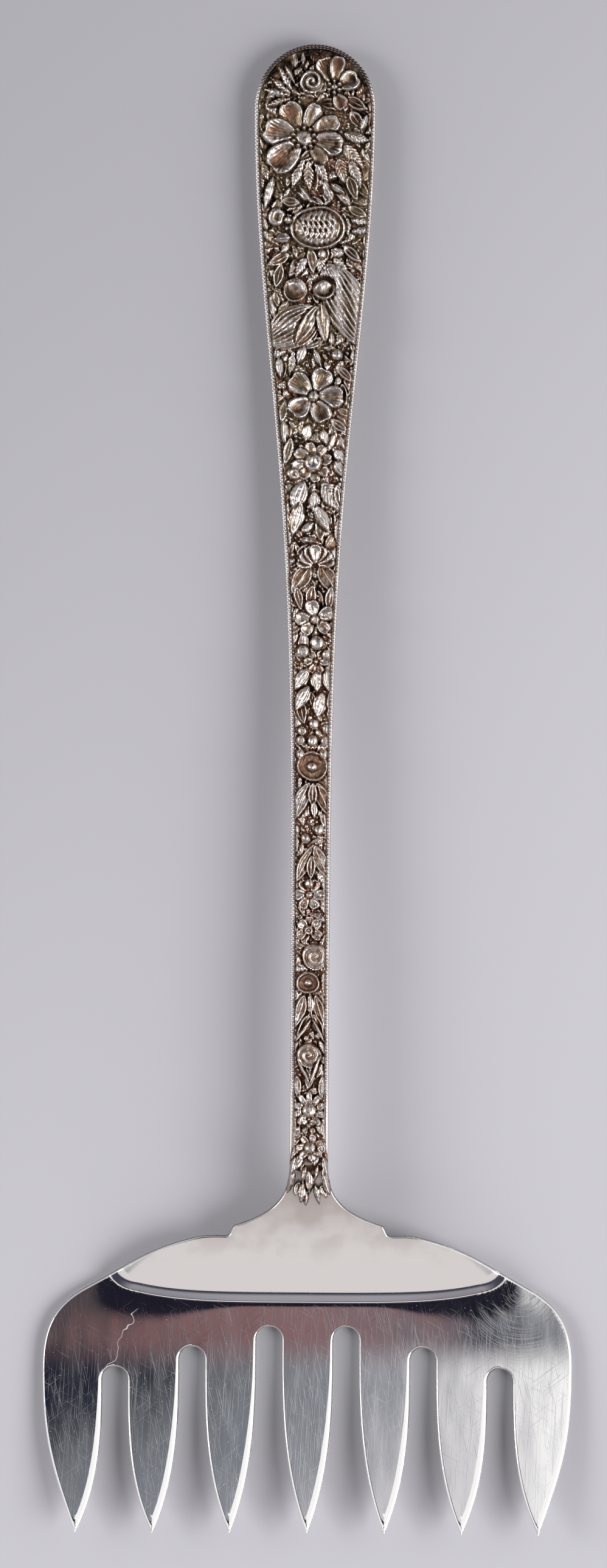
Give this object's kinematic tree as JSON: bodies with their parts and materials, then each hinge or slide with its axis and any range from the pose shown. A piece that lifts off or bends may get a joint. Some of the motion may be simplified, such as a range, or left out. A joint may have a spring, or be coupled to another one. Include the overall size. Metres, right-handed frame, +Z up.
{
  "type": "sardine fork",
  "caption": "Silver serving fork with a wide flat head of short pointed tines, ogee shoulders and a slim tapering handle chased with flowers and leaves.",
  "frame": {"origin": "on the table, under the middle of the fork's overall box", "axes": "+X across the tines, +Y along the handle towards its butt, +Z up from the table"},
  "size_m": [0.0544, 0.1524, 0.0067],
  "materials": {
    "polished_silver": "polished, with fine wear scratches",
    "silver_solder": "satin",
    "oxidised_silver": "chased, darkened in the recesses",
    "bead_silver": "satin"
  },
  "bodies": {
    "root": {"tine_head": "polished_silver", "handle_bar": "polished_silver", "heel_solder": "silver_solder", "floral_panel": "oxidised_silver", "bead_border": "bead_silver"}
  },
  "joints": []
}
